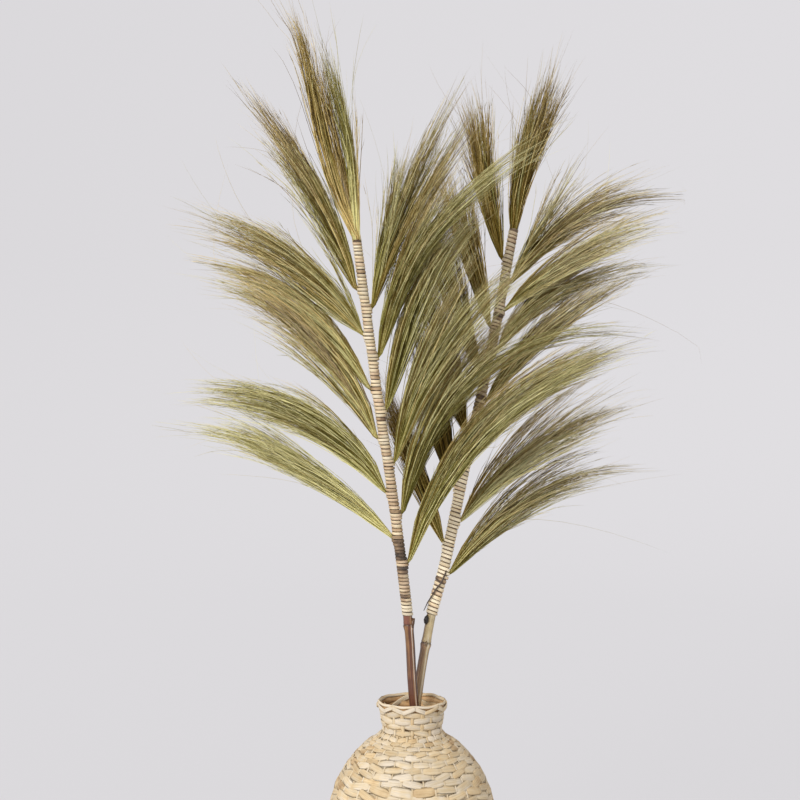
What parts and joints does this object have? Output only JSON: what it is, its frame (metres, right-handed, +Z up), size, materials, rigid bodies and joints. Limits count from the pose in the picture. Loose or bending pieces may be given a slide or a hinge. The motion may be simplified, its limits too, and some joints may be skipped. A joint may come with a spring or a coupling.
{
  "type": "dried reed grass in vase",
  "caption": "Two crossed reed canes, bound with split cane and carrying bundles of dried reed grass on both sides, stand in a round woven basket vase with a short neck.",
  "frame": {"origin": "centre of the vase's flat base, on the surface that the vase stands on", "axes": "+Z up the vase's axis, -Y towards the front, from which the two canes spread to the left and right, +X to the right"},
  "size_m": [0.6018, 0.203, 1.1001],
  "materials": {
    "straw": "matte",
    "left_cane": "satin",
    "right_cane": "satin",
    "split_cane": "satin",
    "reed_grass": "matte"
  },
  "bodies": {
    "root": {"vase": "straw", "left_cane": "left_cane", "right_cane": "right_cane", "left_binding": "split_cane", "right_binding": "split_cane", "left_tip_plume": "reed_grass", "left_outer_plume_1": "reed_grass", "left_outer_plume_2": "reed_grass", "left_outer_plume_3": "reed_grass", "left_outer_plume_4": "reed_grass", "left_outer_plume_5": "reed_grass", "left_outer_plume_6": "reed_grass", "left_inner_plume_1": "reed_grass", "left_inner_plume_2": "reed_grass", "left_inner_plume_3": "reed_grass", "left_inner_plume_4": "reed_grass", "left_inner_plume_5": "reed_grass", "left_inner_plume_6": "reed_grass", "right_tip_plume": "reed_grass", "right_outer_plume_1": "reed_grass", "right_outer_plume_2": "reed_grass", "right_outer_plume_3": "reed_grass", "right_outer_plume_4": "reed_grass", "right_outer_plume_5": "reed_grass", "right_outer_plume_6": "reed_grass", "right_outer_plume_7": "reed_grass", "right_inner_plume_1": "reed_grass", "right_inner_plume_2": "reed_grass", "right_inner_plume_3": "reed_grass", "right_inner_plume_4": "reed_grass", "right_inner_plume_5": "reed_grass", "right_inner_plume_6": "reed_grass"}
  },
  "joints": []
}
